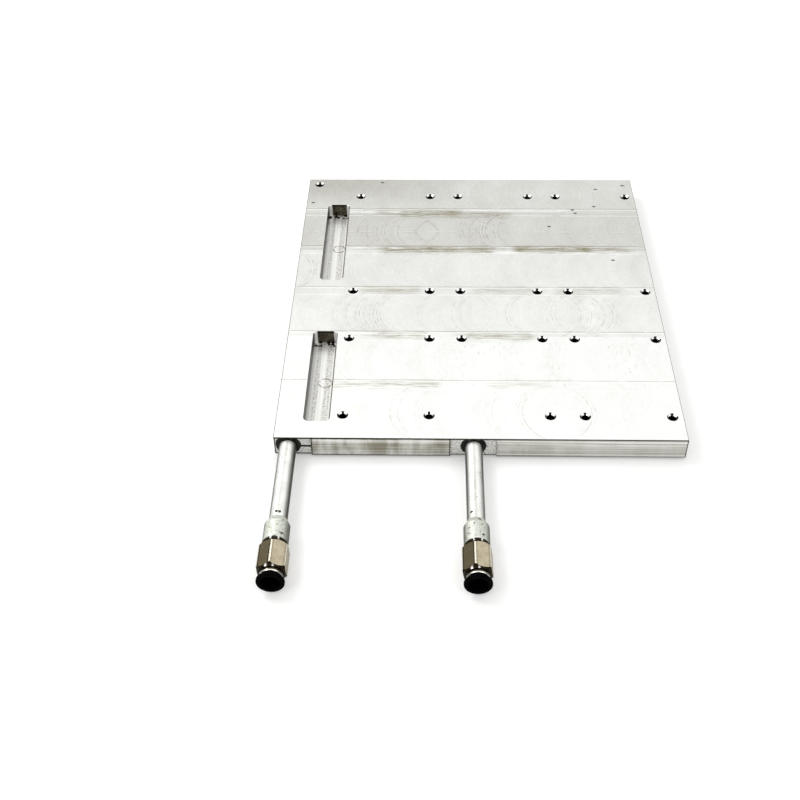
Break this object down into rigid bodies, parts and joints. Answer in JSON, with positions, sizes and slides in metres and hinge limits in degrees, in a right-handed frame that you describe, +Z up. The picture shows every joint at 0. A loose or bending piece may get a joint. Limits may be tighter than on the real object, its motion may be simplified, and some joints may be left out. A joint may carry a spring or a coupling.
{
  "type": "liquid cooling cold plate",
  "caption": "Flat milled aluminium cold plate with drilled coolant channels, bolt holes, two long pockets, and two tube ports ending in push-in hose fittings.",
  "frame": {"origin": "centre of the plate's underside", "axes": "+Z up, out of the cooling face; -Y towards the hose ports; +X to the right as seen from the ports"},
  "size_m": [0.235, 0.3679, 0.0172],
  "materials": {
    "milled_aluminium": "face-milled",
    "plug_aluminium": "turned",
    "drawn_aluminium": "drawn, satin",
    "turned_aluminium": "matte, pitted",
    "port_sealant": "rough",
    "nickel_plated_brass": "nickel plated, satin",
    "bright_nickel": "nickel plated, polished",
    "seal_rubber": "moulded",
    "white_plastic": "moulded",
    "spring_steel": "stamped",
    "black_plastic": "moulded"
  },
  "bodies": {
    "cold_plate": {"plate_body": "milled_aluminium", "channel_plug_right_1": "plug_aluminium", "channel_plug_right_2": "plug_aluminium", "channel_plug_right_3": "plug_aluminium", "channel_plug_right_4": "plug_aluminium", "channel_plug_right_5": "plug_aluminium", "channel_plug_right_6": "plug_aluminium", "channel_plug_right_7": "plug_aluminium", "channel_plug_right_8": "plug_aluminium", "channel_plug_back_1": "plug_aluminium", "channel_plug_back_2": "plug_aluminium", "channel_plug_left_1": "plug_aluminium", "inlet_tube": "drawn_aluminium", "inlet_port_seal": "port_sealant", "inlet_threaded_sleeve": "turned_aluminium", "inlet_fitting_body": "nickel_plated_brass", "inlet_hose_seal": "seal_rubber", "inlet_backup_ring": "white_plastic", "inlet_claw_ring": "spring_steel", "inlet_guide_ring": "bright_nickel", "outlet_tube": "drawn_aluminium", "outlet_port_seal": "port_sealant", "outlet_threaded_sleeve": "turned_aluminium", "outlet_fitting_body": "nickel_plated_brass", "outlet_hose_seal": "seal_rubber", "outlet_backup_ring": "white_plastic", "outlet_claw_ring": "spring_steel", "outlet_guide_ring": "bright_nickel"},
    "inlet_release": {"inlet_release_ring": "black_plastic"},
    "outlet_release": {"outlet_release_ring": "black_plastic"}
  },
  "joints": [
    {"name": "inlet_release_press", "type": "slide", "parent": "cold_plate", "child": "inlet_release", "axis": [0, 1, 0], "range_m": [0, 0.0015], "stiffness_N_per_m": 600},
    {"name": "outlet_release_press", "type": "slide", "parent": "cold_plate", "child": "outlet_release", "axis": [0, 1, 0], "range_m": [0, 0.0015], "stiffness_N_per_m": 600}
  ]
}
